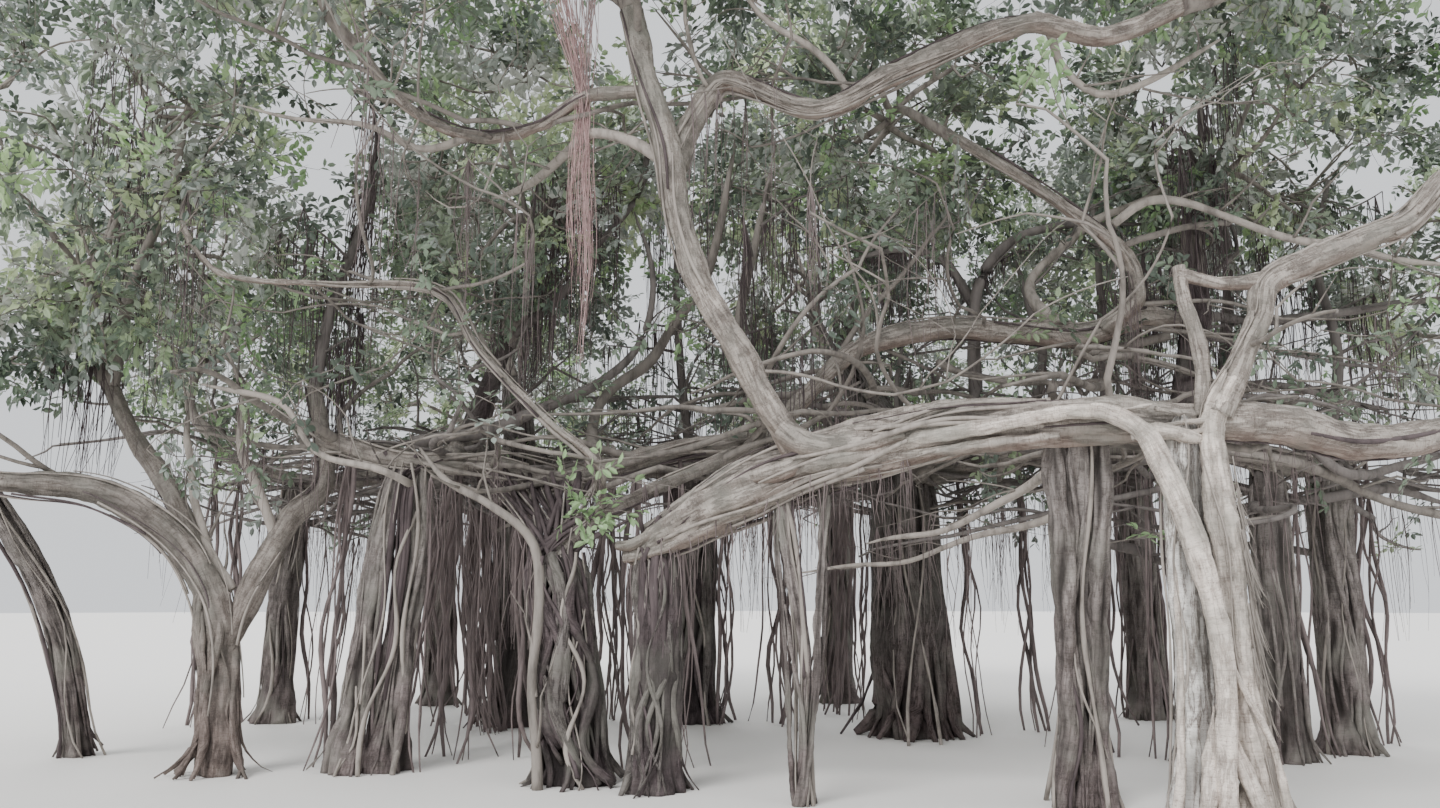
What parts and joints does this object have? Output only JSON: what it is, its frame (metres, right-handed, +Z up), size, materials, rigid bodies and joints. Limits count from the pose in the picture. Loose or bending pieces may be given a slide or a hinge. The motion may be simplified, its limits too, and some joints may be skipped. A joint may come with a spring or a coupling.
{
  "type": "banyan tree",
  "caption": "Wide spreading fig tree on a fused-root trunk and many root pillars, with long winding boughs and a broad leafy crown that can be walked under.",
  "frame": {"origin": "middle of the main trunk's flat foot, at ground level", "axes": "+Z up, +X to the right along the tree's open front, +Y back under the crown"},
  "size_m": [20.971, 15.8484, 9.5344],
  "materials": {
    "bark": "matt grey-brown bark, ribbed and creased along the limbs",
    "root_bark": "matt dark bark of fused hanging roots",
    "young_root": "matt reddish young aerial roots",
    "foliage": "satin green leaves"
  },
  "bodies": {
    "root": {"bough_back": "bark", "bough_back_left_corner": "bark", "bough_back_middle": "bark", "bough_back_right": "bark", "bough_centre": "bark", "bough_far_left": "bark", "bough_left": "bark", "bough_left_middle": "bark", "bough_over_middle": "bark", "bough_right": "bark", "bough_right_middle": "bark", "cross_bough_left": "bark", "cross_bough_right": "bark", "curved_limb": "bark", "dark_stem": "root_bark", "foliage_back_left": "foliage", "foliage_back_middle": "foliage", "foliage_back_right": "foliage", "foliage_far_left": "foliage", "foliage_far_right": "foliage", "foliage_front_left": "foliage", "foliage_front_middle": "foliage", "foliage_front_right": "foliage", "foliage_left": "foliage", "foliage_left_middle": "foliage", "foliage_middle": "foliage", "foliage_rear_left": "foliage", "foliage_rear_right": "foliage", "foliage_right": "foliage", "foliage_right_middle": "foliage", "forked_limb": "bark", "hanging_root_tassel": "young_root", "pillar_back_left": "bark", "pillar_back_middle": "bark", "pillar_back_right": "bark", "pillar_dark_stem": "root_bark", "pillar_far_left": "bark", "pillar_forked": "bark", "pillar_inner": "bark", "pillar_leaning": "bark", "pillar_middle_back": "root_bark", "pillar_right_a": "bark", "pillar_right_b": "bark", "pillar_right_c": "bark", "pillar_root_bundle": "root_bark", "pillar_split": "bark", "pillar_wide": "root_bark", "riser_left_middle": "root_bark", "rising_limb": "bark", "sling_bough": "bark", "stem_left": "bark", "stem_left_arm": "bark", "stem_left_riser": "bark", "thin_limb_left": "bark", "trunk": "bark", "trunk_back_left": "bark", "trunk_middle": "bark", "wave_bough": "bark"}
  },
  "joints": []
}
